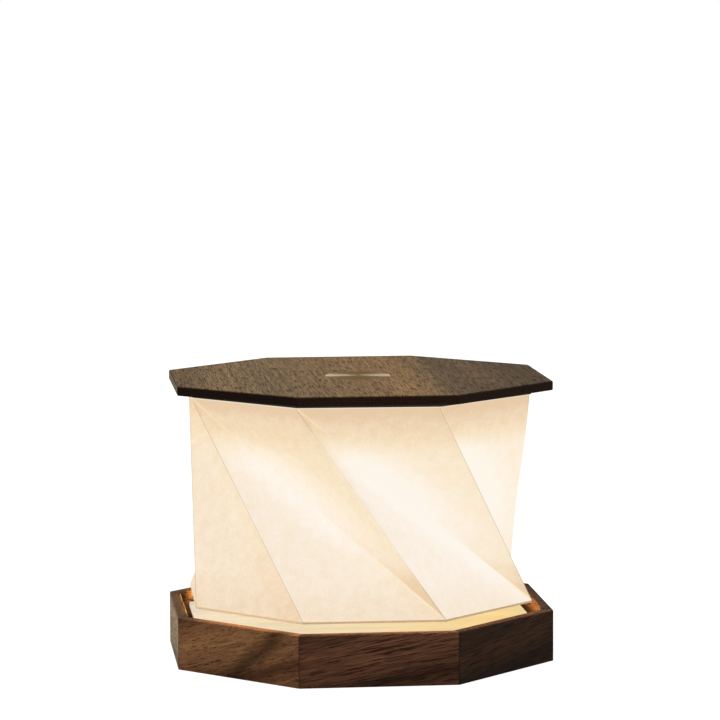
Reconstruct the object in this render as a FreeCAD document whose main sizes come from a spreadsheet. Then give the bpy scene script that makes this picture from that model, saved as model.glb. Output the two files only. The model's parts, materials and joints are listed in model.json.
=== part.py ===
import FreeCAD, Part
import math
import os
import Sketcher

# A folding table lamp: an octagonal walnut tray and lid joined by a pleated paper shade.
# Millimetres, +Z up, origin at the middle of the underside, front board facing -Y.

doc = FreeCAD.newDocument("folding_origami_lamp")
sheet = doc.addObject("Spreadsheet::Sheet", "Sizes")

SIZES = {
    # tray: eight mitred boards round a floor
    "tray_radius": 100.0,
    "rim_depth": 5.1,
    "board_thickness": 5.2,
    "board_edge": 0.4,
    "seam_edge": 0.25,
    "felt_thickness": 1.2,
    "floor_thickness": 3.0,
    "groove_depth": 2.0,
    "groove_play": 0.1,
    "felt_play": 0.4,
    # deck: cream plate that floats clear of the boards
    "deck_thickness": 2.0,
    "deck_gap": 4.5,
    "window_radius": 32.0,
    # shade plate and the plunger that carries it
    "plate_thickness": 1.0,
    "plate_rest_gap": 0.3,
    "foot_play": 0.8,
    "plunger_radius": 6.0,
    "plunger_foot_radius": 7.5,
    "plunger_foot_height": 3.0,
    "guide_radius": 10.0,
    "guide_flange_radius": 16.0,
    "guide_flange_thickness": 2.0,
    "cap_height": 3.5,
    "cap_recess": 0.3,
    "running_gap": 0.2,
    "grip_wire_radius": 1.0,
    "grip_groove_play": 0.1,
    # paper shade
    "shade_height": 102.4,
    "paper_wall": 0.5,
    "flange_width": 7.0,
    "flange_thickness": 0.4,
    "shade_top_turn": -2.4,
    "shade_bottom_turn": -1.0,
    "lead_width": 1.6,
    "lead_thickness": 0.2,
    "lead_inset": 1.9,
    "lead_end_gap": 4.0,
    # lid
    "lid_inset": 0.6,
    "lid_thickness": 4.6,
    "lid_edge": 0.4,
    "liner_thickness": 1.8,
    "disc_radius": 16.4,
    "disc_thickness": 1.5,
    "disc_proud": 0.1,
    "disc_edge": 0.3,
    "disc_play": 0.2,
    "touch_pad_radius": 12.0,
    "touch_pad_thickness": 0.8,
    "lead_hole_radius": 2.5,
    # magnets that hold the lid shut
    "magnet_radius": 3.0,
    "magnet_inset": 13.5,
    "magnet_play": 0.1,
    "lid_magnet_thickness": 1.2,
    "deck_magnet_thickness": 2.0,
    # light
    "cup_ledge": 4.0,
    "cup_lip": 2.0,
    "cup_height": 5.0,
    "cup_floor": 1.5,
    "bore_play": 0.3,
    "led_board_thickness": 1.6,
    "led_length": 3.5,
    "led_width": 2.8,
    "led_height": 0.8,
    "led_count": 12,
    # posts and screws, in rings of four
    "ring_count": 4,
    "post_radius": 4.0,
    "post_inset": 10.7,
    "floor_screw_radius": 1.5,
    "floor_screw_length": 7.0,
    "floor_screw_head_radius": 3.0,
    "floor_screw_head_height": 1.4,
    "cup_screw_radius": 1.2,
    "cup_screw_reach": 1.4,
    "cup_screw_head_radius": 2.2,
    "cup_screw_head_height": 1.5,
    "cup_screw_head_gap": 0.3,
    "hub_screw_radius": 1.5,
    "hub_screw_length": 6.0,
    "hub_screw_head_radius": 3.0,
    "hub_screw_head_height": 1.4,
    "screw_play": 0.1,
    "screw_end_play": 0.4,
    # battery, control board and charge socket
    "battery_length": 58.0,
    "battery_width": 44.0,
    "battery_thickness": 6.5,
    "battery_pad_thickness": 0.8,
    "battery_gap": 4.0,
    "battery_edge": 1.5,
    "control_length": 44.0,
    "control_depth": 26.0,
    "control_thickness": 1.6,
    "control_back_gap": 1.7,
    "chip_side": 5.0,
    "chip_height": 0.9,
    "coil_side": 6.0,
    "coil_height": 3.0,
    "connector_length": 9.0,
    "connector_width": 5.0,
    "connector_height": 4.0,
    "standoff_height": 4.0,
    "standoff_radius": 2.5,
    "standoff_inset": 4.0,
    "peg_radius": 1.0,
    "peg_length": 2.2,
    "socket_width": 9.0,
    "socket_depth": 7.4,
    "socket_height": 3.2,
    "socket_wall": 0.35,
    "socket_mouth_depth": 6.2,
    "socket_tongue": 0.7,
    "socket_tongue_gap": 0.7,
    "socket_overhang": 1.0,
    "port_width": 12.6,
    "port_height": 7.0,
}

for row, (alias, value) in enumerate(SIZES.items(), start=1):
    sheet.set("A%d" % row, alias)
    sheet.set("B%d" % row, str(value))
    sheet.setAlias("B%d" % row, alias)
doc.recompute()

SIDES = 8
CORNER_STEP = 360.0 / SIDES
HALF_STEP = CORNER_STEP / 2
Z_AXIS = FreeCAD.Vector(0, 0, 1)
ORIGIN = FreeCAD.Vector(0, 0, 0)

# Places and sizes that several pieces share, written as formulas of the sheet's own names.
DERIVED = {
    "floor_bottom": "felt_thickness",
    "floor_top": "floor_bottom + floor_thickness",
    "battery_top": "floor_top + battery_pad_thickness + battery_thickness",
    "cup_bottom": "battery_top + cup_screw_head_gap + cup_screw_head_height",
    "cup_floor_top": "cup_bottom + cup_floor",
    "led_board_top": "cup_floor_top + led_board_thickness",
    "deck_bottom": "cup_bottom + cup_height",
    "deck_top": "deck_bottom + deck_thickness",
    "tray_height": "deck_top + rim_depth",
    "guide_height": "deck_top - cap_recess - cap_height - floor_top",
    "cap_bottom": "floor_top + guide_height",
    "foot_bottom": "cap_bottom - running_gap - plunger_foot_height",
    "plate_travel": "foot_bottom - floor_top - foot_play",
    "plate_bottom": "deck_top + plate_rest_gap + plate_travel",
    "plate_top": "plate_bottom + plate_thickness",
    "paper_top": "plate_top + shade_height",
    "lid_bottom": "paper_top + liner_thickness",
    "lid_top": "lid_bottom + lid_thickness",
    "control_bottom": "floor_top + standoff_height",
    "control_top": "control_bottom + control_thickness",
    "wall_apothem": "tray_radius * cos(%s)" % HALF_STEP,
    "inner_apothem": "wall_apothem - board_thickness",
    "inner_radius": "inner_apothem / cos(%s)" % HALF_STEP,
    "floor_radius": "(inner_apothem + groove_depth - groove_play) / cos(%s)" % HALF_STEP,
    "shade_apothem": "inner_apothem - deck_gap",
    "shade_radius": "shade_apothem / cos(%s)" % HALF_STEP,
    "lid_radius": "tray_radius - lid_inset",
    "post_circle": "shade_apothem - post_inset",
    "magnet_circle": "shade_radius - magnet_inset",
    "control_back": "inner_apothem - control_back_gap",
    "battery_inner": "guide_flange_radius + battery_gap",
    "bore_radius": "guide_radius + bore_play",
    "cup_radius": "window_radius + cup_ledge",
    "cup_inner_radius": "window_radius - cup_lip",
    "cup_screw_circle": "window_radius + cup_ledge / 2",
    "led_circle": "(bore_radius + cup_inner_radius) / 2",
    "grip_radius": "plunger_radius + running_gap + grip_wire_radius",
}
first_formula_row = len(SIZES) + 1
for row, (alias, formula) in enumerate(DERIVED.items(), start=first_formula_row):
    sheet.set("A%d" % row, alias)
    sheet.set("B%d" % row, "=" + formula)
    sheet.setAlias("B%d" % row, alias)
doc.recompute()


def size(alias):
    """One value of the sheet, as a plain number."""
    return float(sheet.get(alias))


def bind(thing, **formulas):
    """Tie properties to formulas of the sheet's names; x, y and z stand for the place."""
    places = {"x": "Placement.Base.x", "y": "Placement.Base.y", "z": "Placement.Base.z"}
    for name, formula in formulas.items():
        thing.setExpression(places.get(name, name), in_sheet(formula))
    return thing


def in_sheet(formula):
    """Write the sheet's name before each of its aliases in a formula."""
    words = []
    word = ""
    for sign in str(formula) + " ":
        if sign.isalnum() or sign in "_.":
            word += sign
            continue
        words.append("Sizes." + word if word in SIZES or word in DERIVED else word)
        words.append(sign)
        word = ""
    return "".join(words).strip()


def new_body(label, z="0"):
    """An empty body named for its piece, set at its height in the lamp."""
    body = doc.addObject("PartDesign::Body", label)
    body.Label = label
    bind(body, z=z)
    return body


def feature(body, kind, name, **formulas):
    """A feature of a body with its sizes and place bound, made the body's tip."""
    made = bind(body.newObject("PartDesign::" + kind, name), **formulas)
    doc.recompute()
    return made


def octagon(body, name, radius, height, turned=0):
    """An eight-sided plate with a flat side towards the front, or turned from there by so many degrees."""
    plate = body.newObject("PartDesign::AdditivePrism", name)
    plate.Polygon = SIDES
    plate.Placement = FreeCAD.Placement(ORIGIN, FreeCAD.Rotation(Z_AXIS, HALF_STEP + turned))
    bind(plate, Circumradius=radius, Height=height)
    doc.recompute()
    return plate


def origin_part(body, role):
    """A plane or axis of a body's own origin, found by its role."""
    return [part for part in body.Origin.OriginFeatures if part.Role == role][0]


def ring_pattern(body, features, count="ring_count"):
    """Repeat features evenly about the vertical axis, as separate solids."""
    pattern = body.newObject("PartDesign::PolarPattern", "Ring")
    pattern.Originals = features
    pattern.Axis = (origin_part(body, "Z_Axis"), [""])
    pattern.Angle = 360
    bind(pattern, Occurrences=count)
    body.Tip = pattern
    doc.recompute()
    return pattern


def turn(body, degrees):
    """Turn a whole body about the lamp's axis, keeping its height."""
    body.Placement = FreeCAD.Placement(body.Placement.Base, FreeCAD.Rotation(Z_AXIS, degrees))


def faces_at(shape, height):
    """Names of the flat faces whose middle lies at a height."""
    names = []
    for number, face in enumerate(shape.Faces, start=1):
        if abs(face.CenterOfMass.z - height) < 1e-4:
            names.append("Face%d" % number)
    return names


def long_edges_at(shape, height):
    """Names of the two longest edges that lie at a height."""
    level = []
    for number, edge in enumerate(shape.Edges, start=1):
        box = edge.BoundBox
        if abs(box.ZMin - height) < 1e-4 and abs(box.ZMax - height) < 1e-4:
            level.append((edge.Length, "Edge%d" % number))
    return [name for length, name in sorted(level)[-2:]]


def chamfer(body, base, names, edge):
    """Break the named edges, or the edges of the named faces."""
    broken = body.newObject("PartDesign::Chamfer", "BrokenEdges")
    broken.Base = (base, names)
    bind(broken, Size=edge)
    doc.recompute()
    return broken


def sketch_on(body, role, name):
    """A sketch on one of a body's own origin planes."""
    sketch = body.newObject("Sketcher::SketchObject", name)
    sketch.AttachmentSupport = [(origin_part(body, role), "")]
    sketch.MapMode = "FlatFace"
    return sketch


def profile(sketch, corners):
    """A closed outline whose corners are held at formulas of the sheet's names."""
    points = []
    for across, up in corners:
        points.append(FreeCAD.Vector(worked_out(across), worked_out(up), 0))
    count = len(points)
    for number in range(count):
        sketch.addGeometry(Part.LineSegment(points[number], points[(number + 1) % count]), False)
    for number in range(count):
        following = (number + 1) % count
        sketch.addConstraint(Sketcher.Constraint("Coincident", number, 2, following, 1))
    for number, (across, up) in enumerate(corners):
        for kind, formula in (("DistanceX", across), ("DistanceY", up)):
            value = worked_out(formula)
            index = sketch.addConstraint(Sketcher.Constraint(kind, -1, 1, number, 1, value))
            sketch.setExpression("Constraints[%d]" % index, in_sheet(formula))
    doc.recompute()
    return sketch


def worked_out(formula):
    """The number that a formula of the sheet's names has now."""
    return float(sheet.evalExpression(in_sheet(formula)))


def turned_piece(label, corners, z="0"):
    """A piece of revolution about the vertical axis, from half of its section."""
    body = new_body(label, z)
    sketch = profile(sketch_on(body, "XZ_Plane", "Section"), corners)
    lathe = body.newObject("PartDesign::Revolution", "Turned")
    lathe.Profile = sketch
    lathe.ReferenceAxis = (sketch, ["V_Axis"])
    lathe.Angle = 360
    doc.recompute()
    return body


pieces = []

# Tray boards, mitred at both ends and grooved inside for the floor.
BOARD_NAMES = ["front", "front_right", "right", "back_right", "back", "back_left", "left", "front_left"]


MITRE_SLOPE = "tan(%s)" % HALF_STEP


def on_mitre(side, distance):
    """A point on one end's mitre line, at a distance from the tray's middle."""
    return ("%s(%s) * %s" % (side, distance, MITRE_SLOPE), "-(%s)" % distance)


def board_outline():
    """A board seen from above, with its outer corners broken so that the seams show as fine lines."""
    half_length = "(wall_apothem * %s - seam_edge)" % MITRE_SLOPE
    return [
        on_mitre("-", "wall_apothem - seam_edge"),
        ("-" + half_length, "-wall_apothem"),
        (half_length, "-wall_apothem"),
        on_mitre("", "wall_apothem - seam_edge"),
        on_mitre("", "inner_apothem"),
        on_mitre("-", "inner_apothem"),
    ]


def groove_outline():
    """The groove for the floor seen from above, open at both ends."""
    return [
        on_mitre("-", "inner_apothem + groove_depth"),
        on_mitre("", "inner_apothem + groove_depth"),
        on_mitre("", "inner_apothem"),
        on_mitre("-", "inner_apothem"),
    ]


def tray_board(number, name):
    """One wall board; the back one has the opening for the charge plug."""
    body = new_body("tray_wall_" + name)
    outline = profile(sketch_on(body, "XY_Plane", "Outline"), board_outline())
    board = body.newObject("PartDesign::Pad", "Board")
    board.Profile = outline
    bind(board, Length="tray_height")
    doc.recompute()
    groove_sketch = sketch_on(body, "XY_Plane", "GrooveOutline")
    bind(groove_sketch, **{"AttachmentOffset.Base.z": "floor_bottom"})
    profile(groove_sketch, groove_outline())
    groove = body.newObject("PartDesign::Pocket", "FloorGroove")
    groove.Profile = groove_sketch
    groove.Reversed = True
    bind(groove, Length="floor_thickness")
    doc.recompute()
    if name == "back":
        # the board is drawn at the front, so the opening is too
        feature(body, "SubtractiveBox", "ChargeOpening", Length="port_width", Height="port_height",
                Width="board_thickness * 2", x="-port_width / 2",
                y="-wall_apothem - board_thickness / 2",
                z="control_top + (socket_height - port_height) / 2")
    chamfer(body, body.Tip, long_edges_at(body.Tip.Shape, size("tray_height")), "board_edge")
    turn(body, number * CORNER_STEP)
    pieces.append(body)


for number, name in enumerate(BOARD_NAMES):
    tray_board(number, name)

# Floor, with sunk screw heads, and the felt under it.
floor_panel = new_body("floor_panel", "floor_bottom")
octagon(floor_panel, "Board", "floor_radius", "floor_thickness")
floor_holes = [
    feature(floor_panel, "SubtractiveCylinder", "ScrewHole", Radius="floor_screw_radius + screw_play",
            Height="floor_thickness", x="post_circle"),
    feature(floor_panel, "SubtractiveCylinder", "HeadRecess", Radius="floor_screw_head_radius + screw_play",
            Height="floor_screw_head_height", x="post_circle"),
]
ring_pattern(floor_panel, floor_holes)
turn(floor_panel, CORNER_STEP)
pieces.append(floor_panel)

felt_pad = new_body("felt_pad")
octagon(felt_pad, "Felt", "inner_radius - felt_play", "felt_thickness")
pieces.append(felt_pad)

# Posts between floor and deck, and the screws that hold them from below.
deck_posts = new_body("deck_posts", "floor_top")
post = feature(deck_posts, "AdditiveCylinder", "Post", Radius="post_radius",
               Height="deck_bottom - floor_top", x="post_circle")
post_bore = feature(deck_posts, "SubtractiveCylinder", "PostBore", Radius="floor_screw_radius + screw_play",
                    Height="floor_screw_length + screw_end_play", x="post_circle")
ring_pattern(deck_posts, [post, post_bore])
turn(deck_posts, CORNER_STEP)
pieces.append(deck_posts)

floor_screws = new_body("floor_screws", "floor_bottom")
floor_screw_parts = [
    feature(floor_screws, "AdditiveCylinder", "Head", Radius="floor_screw_head_radius",
            Height="floor_screw_head_height", x="post_circle"),
    feature(floor_screws, "AdditiveCylinder", "Shank", Radius="floor_screw_radius",
            Height="floor_thickness + floor_screw_length", x="post_circle"),
]
ring_pattern(floor_screws, floor_screw_parts)
turn(floor_screws, CORNER_STEP)
pieces.append(floor_screws)

# Deck, with the round window of the light and blind holes for the light cup's screws.
deck_plate = new_body("deck_plate", "deck_bottom")
octagon(deck_plate, "Plate", "shade_radius", "deck_thickness")
feature(deck_plate, "SubtractiveCylinder", "LightWindow", Radius="window_radius", Height="deck_thickness")
deck_hole = feature(deck_plate, "SubtractiveCylinder", "CupScrewHole", Radius="cup_screw_radius + screw_play",
                    Height="cup_screw_reach + screw_play", x="cup_screw_circle")
ring_pattern(deck_plate, [deck_hole])
turn(deck_plate, CORNER_STEP)
pieces.append(deck_plate)

# Light: a cup under the deck holds a ring of light chips below a flush diffuser.
light_cup = new_body("light_cup", "cup_bottom")
feature(light_cup, "AdditiveCylinder", "Cup", Radius="cup_radius", Height="cup_height")
feature(light_cup, "SubtractiveCylinder", "Inside", Radius="cup_inner_radius", Height="cup_height",
        z="cup_floor")
feature(light_cup, "SubtractiveCylinder", "GuideBore", Radius="bore_radius", Height="cup_height")
cup_hole = feature(light_cup, "SubtractiveCylinder", "ScrewHole", Radius="cup_screw_radius + screw_play",
                   Height="cup_height", x="cup_screw_circle")
ring_pattern(light_cup, [cup_hole])
turn(light_cup, CORNER_STEP)
pieces.append(light_cup)

cup_screws = new_body("cup_screws", "cup_bottom - cup_screw_head_height")
cup_screw_parts = [
    feature(cup_screws, "AdditiveCylinder", "Head", Radius="cup_screw_head_radius",
            Height="cup_screw_head_height", x="cup_screw_circle"),
    feature(cup_screws, "AdditiveCylinder", "Shank", Radius="cup_screw_radius",
            Height="cup_screw_head_height + cup_height + cup_screw_reach", x="cup_screw_circle"),
]
ring_pattern(cup_screws, cup_screw_parts)
turn(cup_screws, CORNER_STEP)
pieces.append(cup_screws)

led_board = new_body("led_board", "cup_floor_top")
feature(led_board, "AdditiveCylinder", "Board", Radius="cup_inner_radius - bore_play",
        Height="led_board_thickness")
feature(led_board, "SubtractiveCylinder", "GuideBore", Radius="bore_radius", Height="led_board_thickness")
pieces.append(led_board)

led_chips = new_body("led_chips", "led_board_top")
chip = feature(led_chips, "AdditiveBox", "Chip", Length="led_width", Width="led_length", Height="led_height",
               x="led_circle - led_width / 2", y="-led_length / 2")
ring_pattern(led_chips, [chip], "led_count")
pieces.append(led_chips)

light_diffuser = new_body("light_diffuser", "deck_bottom")
feature(light_diffuser, "AdditiveCylinder", "Lens", Radius="window_radius - bore_play",
        Height="deck_thickness")
feature(light_diffuser, "SubtractiveCylinder", "GuideBore", Radius="bore_radius", Height="deck_thickness")
pieces.append(light_diffuser)

# The guide in the tray's middle, the rubber ring in its cap, and the plunger that carries the shade plate.
lift_guide = turned_piece("lift_guide", [
    ("plunger_foot_radius + running_gap", "0"),
    ("guide_flange_radius", "0"),
    ("guide_flange_radius", "guide_flange_thickness"),
    ("guide_radius", "guide_flange_thickness"),
    ("guide_radius", "guide_height"),
    ("plunger_foot_radius + running_gap", "guide_height"),
], "floor_top")
pieces.append(lift_guide)

groove_low = "cap_height / 2 - grip_wire_radius - grip_groove_play"
groove_high = "cap_height / 2 + grip_wire_radius + grip_groove_play"
groove_bottom = "grip_radius + grip_wire_radius + grip_groove_play"
guide_cap = turned_piece("guide_cap", [
    ("plunger_radius + running_gap", "0"),
    ("guide_radius", "0"),
    ("guide_radius", "cap_height"),
    ("plunger_radius + running_gap", "cap_height"),
    ("plunger_radius + running_gap", groove_high),
    (groove_bottom, groove_high),
    (groove_bottom, groove_low),
    ("plunger_radius + running_gap", groove_low),
], "cap_bottom")
pieces.append(guide_cap)

grip_ring = new_body("grip_ring", "cap_bottom + cap_height / 2")
feature(grip_ring, "AdditiveTorus", "Ring", Radius1="grip_radius", Radius2="grip_wire_radius")
pieces.append(grip_ring)

plunger_length = "plate_bottom - foot_bottom"
screw_bottom = "%s - hub_screw_length - screw_end_play" % plunger_length
lift_plunger = turned_piece("lift_plunger", [
    ("0", "0"),
    ("plunger_foot_radius", "0"),
    ("plunger_foot_radius", "plunger_foot_height"),
    ("plunger_radius", "plunger_foot_height"),
    ("plunger_radius", plunger_length),
    ("hub_screw_radius + screw_play", plunger_length),
    ("hub_screw_radius + screw_play", screw_bottom),
    ("0", screw_bottom),
], "foot_bottom")
pieces.append(lift_plunger)

shade_plate = new_body("shade_plate", "plate_bottom")
octagon(shade_plate, "Plate", "shade_radius", "plate_thickness")
feature(shade_plate, "SubtractiveCylinder", "HubHole", Radius="hub_screw_radius + screw_play",
        Height="plate_thickness")
turn(shade_plate, size("shade_bottom_turn"))
pieces.append(shade_plate)

hub_screw = turned_piece("hub_screw", [
    ("0", "-hub_screw_length"),
    ("hub_screw_radius", "-hub_screw_length"),
    ("hub_screw_radius", "plate_thickness"),
    ("hub_screw_head_radius", "plate_thickness"),
    ("hub_screw_head_radius", "plate_thickness + hub_screw_head_height"),
    ("0", "plate_thickness + hub_screw_head_height"),
], "plate_bottom")
pieces.append(hub_screw)

# Battery on its foam pad, beside the guide.
battery_pad = new_body("battery_pad", "floor_top")
feature(battery_pad, "AdditiveBox", "Foam", Length="battery_width", Width="battery_length",
        Height="battery_pad_thickness", x="battery_inner", y="-battery_length / 2")
pieces.append(battery_pad)

battery_cell = new_body("battery_cell", "floor_top + battery_pad_thickness")
cell = feature(battery_cell, "AdditiveBox", "Cell", Length="battery_width", Width="battery_length",
               Height="battery_thickness", x="battery_inner", y="-battery_length / 2")
chamfer(battery_cell, cell, faces_at(cell.Shape, size("battery_thickness")), "battery_edge")
pieces.append(battery_cell)

# Control board behind the back wall, on pegged standoffs, with the charge socket at its edge.
peg_across = "control_length / 2 - standoff_inset"
peg_near = "control_back - control_depth + standoff_inset"
peg_far = "control_back - control_depth / 2"
PEG_PLACES = [(sign + "(" + peg_across + ")", depth) for sign in ("", "-") for depth in (peg_near, peg_far)]

board_standoffs = new_body("board_standoffs", "floor_top")
control_board = new_body("control_board", "control_bottom")
feature(control_board, "AdditiveBox", "Board", Length="control_length", Width="control_depth",
        Height="control_thickness", x="-control_length / 2", y="control_back - control_depth")
for number, (across, depth) in enumerate(PEG_PLACES, start=1):
    feature(board_standoffs, "AdditiveCylinder", "Standoff%d" % number, Radius="standoff_radius",
            Height="standoff_height", x=across, y=depth)
    feature(board_standoffs, "AdditiveCylinder", "Peg%d" % number, Radius="peg_radius",
            Height="standoff_height + peg_length", x=across, y=depth)
    feature(control_board, "SubtractiveCylinder", "PegHole%d" % number, Radius="peg_radius + screw_play",
            Height="control_thickness", x=across, y=depth)
pieces.append(board_standoffs)
pieces.append(control_board)

# The larger parts on the board: a charger chip, a coil, a touch chip and the battery connector,
# placed by shares of the board's length and depth.
COMPONENTS = {
    "ChargerChip": (-0.25, 0.3, "chip_side", "chip_side", "chip_height"),
    "PowerCoil": (0.25, 0.3, "coil_side", "coil_side", "coil_height"),
    "TouchChip": (-0.25, 0.7, "chip_side", "chip_side", "chip_height"),
    "BatteryConnector": (0.2, 0.75, "connector_length", "connector_width", "connector_height"),
}
board_components = new_body("board_components", "control_top")
for name, (across, depth, length, width, height) in COMPONENTS.items():
    feature(board_components, "AdditiveBox", name, Length=length, Width=width, Height=height,
            x="control_length * (%s) - %s / 2" % (across, length),
            y="control_back - control_depth * %s - %s / 2" % (depth, width))
pieces.append(board_components)

usb_socket = new_body("usb_socket", "control_top")
socket_front = "control_back + socket_overhang"
feature(usb_socket, "AdditiveBox", "Shell", Length="socket_width", Width="socket_depth", Height="socket_height",
        x="-socket_width / 2", y="%s - socket_depth" % socket_front)
feature(usb_socket, "SubtractiveBox", "Mouth", Length="socket_width - 2 * socket_wall",
        Width="socket_mouth_depth", Height="socket_height - 2 * socket_wall",
        x="-socket_width / 2 + socket_wall", y="%s - socket_mouth_depth" % socket_front, z="socket_wall")
feature(usb_socket, "AdditiveBox", "Tongue", Length="socket_width - 2 * (socket_wall + socket_tongue_gap)",
        Width="socket_depth - socket_overhang", Height="socket_tongue",
        x="-socket_width / 2 + socket_wall + socket_tongue_gap", y="%s - socket_depth" % socket_front,
        z="(socket_height - socket_tongue) / 2")
pieces.append(usb_socket)

# Magnets: those in the lid meet those under the deck after the lid's eighth of a turn.
deck_magnets = new_body("deck_magnets", "deck_bottom - deck_magnet_thickness")
magnet = feature(deck_magnets, "AdditiveCylinder", "Magnet", Radius="magnet_radius",
                 Height="deck_magnet_thickness", x="magnet_circle")
ring_pattern(deck_magnets, [magnet])
turn(deck_magnets, -HALF_STEP)
pieces.append(deck_magnets)

lid_magnets = new_body("lid_magnets", "lid_bottom - lid_magnet_thickness - magnet_play")
magnet = feature(lid_magnets, "AdditiveCylinder", "Magnet", Radius="magnet_radius",
                 Height="lid_magnet_thickness", x="magnet_circle")
ring_pattern(lid_magnets, [magnet])
turn(lid_magnets, HALF_STEP)
pieces.append(lid_magnets)

# Lid liner, turned as the top of the shade is and with blind pockets for the magnets, and the lid panel with the
# seat of the touch disc.
lid_liner = new_body("lid_liner", "paper_top")
octagon(lid_liner, "Board", "shade_radius", "liner_thickness", size("shade_top_turn"))
feature(lid_liner, "SubtractiveCylinder", "LeadHole", Radius="lead_hole_radius", Height="liner_thickness")
for number in range(int(size("ring_count"))):
    angle = "(%d * 360 / ring_count + %s)" % (number, HALF_STEP)
    feature(lid_liner, "SubtractiveCylinder", "MagnetPocket%d" % number, Radius="magnet_radius + magnet_play",
            Height="liner_thickness", x="magnet_circle * cos%s" % angle, y="magnet_circle * sin%s" % angle,
            z="liner_thickness - lid_magnet_thickness - magnet_play")
pieces.append(lid_liner)

lid_panel = new_body("lid_panel", "lid_bottom")
octagon(lid_panel, "Board", "lid_radius", "lid_thickness")
seat_depth = "disc_thickness - disc_proud + touch_pad_thickness"
board_faces = faces_at(lid_panel.Tip.Shape, 0) + faces_at(lid_panel.Tip.Shape, size("lid_thickness"))
chamfer(lid_panel, lid_panel.Tip, board_faces, "lid_edge")
feature(lid_panel, "SubtractiveCylinder", "DiscSeat", Radius="disc_radius + disc_play", Height="lid_thickness",
        z="lid_thickness - (%s)" % seat_depth)
feature(lid_panel, "SubtractiveCylinder", "LeadHole", Radius="lead_hole_radius", Height="lid_thickness")
pieces.append(lid_panel)

touch_pad = new_body("touch_pad", "lid_top - (%s)" % seat_depth)
feature(touch_pad, "AdditiveCylinder", "Pad", Radius="touch_pad_radius", Height="touch_pad_thickness")
pieces.append(touch_pad)

touch_disc = turned_piece("touch_disc", [
    ("0", "0"),
    ("disc_radius", "0"),
    ("disc_radius", "disc_thickness - disc_edge"),
    ("disc_radius - disc_edge", "disc_thickness"),
    ("0", "disc_thickness"),
], "lid_top + disc_proud - disc_thickness")
pieces.append(touch_disc)


# Paper shade: eight sharp folds run from each top corner to the next corner of the bottom, eight
# soft folds to the one after, and both ends turn inwards as glued flanges.
def corner(number, radius, turned, height):
    """A corner of an octagon of the shade, counted from the front left."""
    angle = math.radians(CORNER_STEP * number - 90 - HALF_STEP + turned)
    return FreeCAD.Vector(radius * math.cos(angle), radius * math.sin(angle), height)


def flat_face(*corners):
    """A flat face with these corners."""
    return Part.Face(Part.makePolygon(list(corners) + [corners[0]]))


def folded_wall(top, bottom):
    """The sixteen facets between a top and a bottom octagon."""
    facets = []
    for number in range(SIDES):
        here, there = top[number], top[(number + 1) % SIDES]
        near, far = bottom[(number + 1) % SIDES], bottom[(number + 2) % SIDES]
        facets.append(flat_face(here, near, far))
        facets.append(flat_face(here, far, there))
    return facets


def band(first, second):
    """The flat faces between two octagons with the same corners."""
    faces = []
    for number in range(SIDES):
        following = (number + 1) % SIDES
        faces.append(flat_face(first[number], first[following], second[following], second[number]))
    return faces


def rim(inset, turned, height):
    """All eight corners of an octagon that lies inside the shade's outline."""
    return [corner(number, size("shade_radius") - inset, turned, height) for number in range(SIDES)]


top_turn = size("shade_top_turn")
bottom_turn = size("shade_bottom_turn")
wall = size("paper_wall")
flange = size("flange_width")
paper_bottom = size("plate_top")
paper_top = size("paper_top")
under_flange = paper_top - size("flange_thickness")
over_flange = paper_bottom + size("flange_thickness")

paper_faces = folded_wall(rim(0, top_turn, paper_top), rim(0, bottom_turn, paper_bottom))
paper_faces += folded_wall(rim(wall, top_turn, under_flange), rim(wall, bottom_turn, over_flange))
paper_faces += band(rim(0, top_turn, paper_top), rim(flange, top_turn, paper_top))
paper_faces += band(rim(flange, top_turn, paper_top), rim(flange, top_turn, under_flange))
paper_faces += band(rim(flange, top_turn, under_flange), rim(wall, top_turn, under_flange))
paper_faces += band(rim(0, bottom_turn, paper_bottom), rim(flange, bottom_turn, paper_bottom))
paper_faces += band(rim(flange, bottom_turn, paper_bottom), rim(flange, bottom_turn, over_flange))
paper_faces += band(rim(flange, bottom_turn, over_flange), rim(wall, bottom_turn, over_flange))
paper_shell = Part.makeShell(paper_faces)
paper_shell.sewShape()
paper_solid = Part.makeSolid(paper_shell)
if paper_solid.Volume < 0:
    paper_solid.reverse()
paper_shade = doc.addObject("Part::Feature", "paper_shade")
paper_shade.Label = "paper_shade"
paper_shade.Shape = paper_solid
paper_shade.Placement = FreeCAD.Placement()
pieces.append(paper_shade)

# Foil lead of the touch disc, laid in the hollow of the sharp fold at the back.
LEAD_CORNER = 4
fold_top = corner(LEAD_CORNER, size("shade_radius"), top_turn, paper_top)
fold_bottom = corner(LEAD_CORNER + 1, size("shade_radius"), bottom_turn, paper_bottom)
next_bottom = corner(LEAD_CORNER + 2, size("shade_radius"), bottom_turn, paper_bottom)
last_top = corner(LEAD_CORNER - 1, size("shade_radius"), top_turn, paper_top)
lead_run = (fold_bottom - fold_top).normalize()
facet_after = lead_run.cross(next_bottom - fold_top).normalize()
facet_before = (last_top - fold_top).cross(lead_run).normalize()
towards_middle = facet_after + facet_before
if towards_middle.dot(fold_top + fold_bottom) > 0:
    towards_middle = -towards_middle
towards_middle.normalize()
lead_across = lead_run.cross(towards_middle)
lead_start = fold_top + lead_run * size("lead_end_gap") + towards_middle * size("lead_inset")
lead_length = fold_top.distanceToPoint(fold_bottom) - 2 * size("lead_end_gap")
touch_lead = doc.addObject("Part::Feature", "touch_lead")
touch_lead.Label = "touch_lead"
touch_lead.Shape = Part.makeBox(size("lead_width"), size("lead_thickness"), lead_length)
touch_lead.Placement = FreeCAD.Placement(
    lead_start - lead_across * (size("lead_width") / 2),
    FreeCAD.Rotation(lead_across, -towards_middle, lead_run, "ZXY"))
pieces.append(touch_lead)

doc.recompute()

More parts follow.
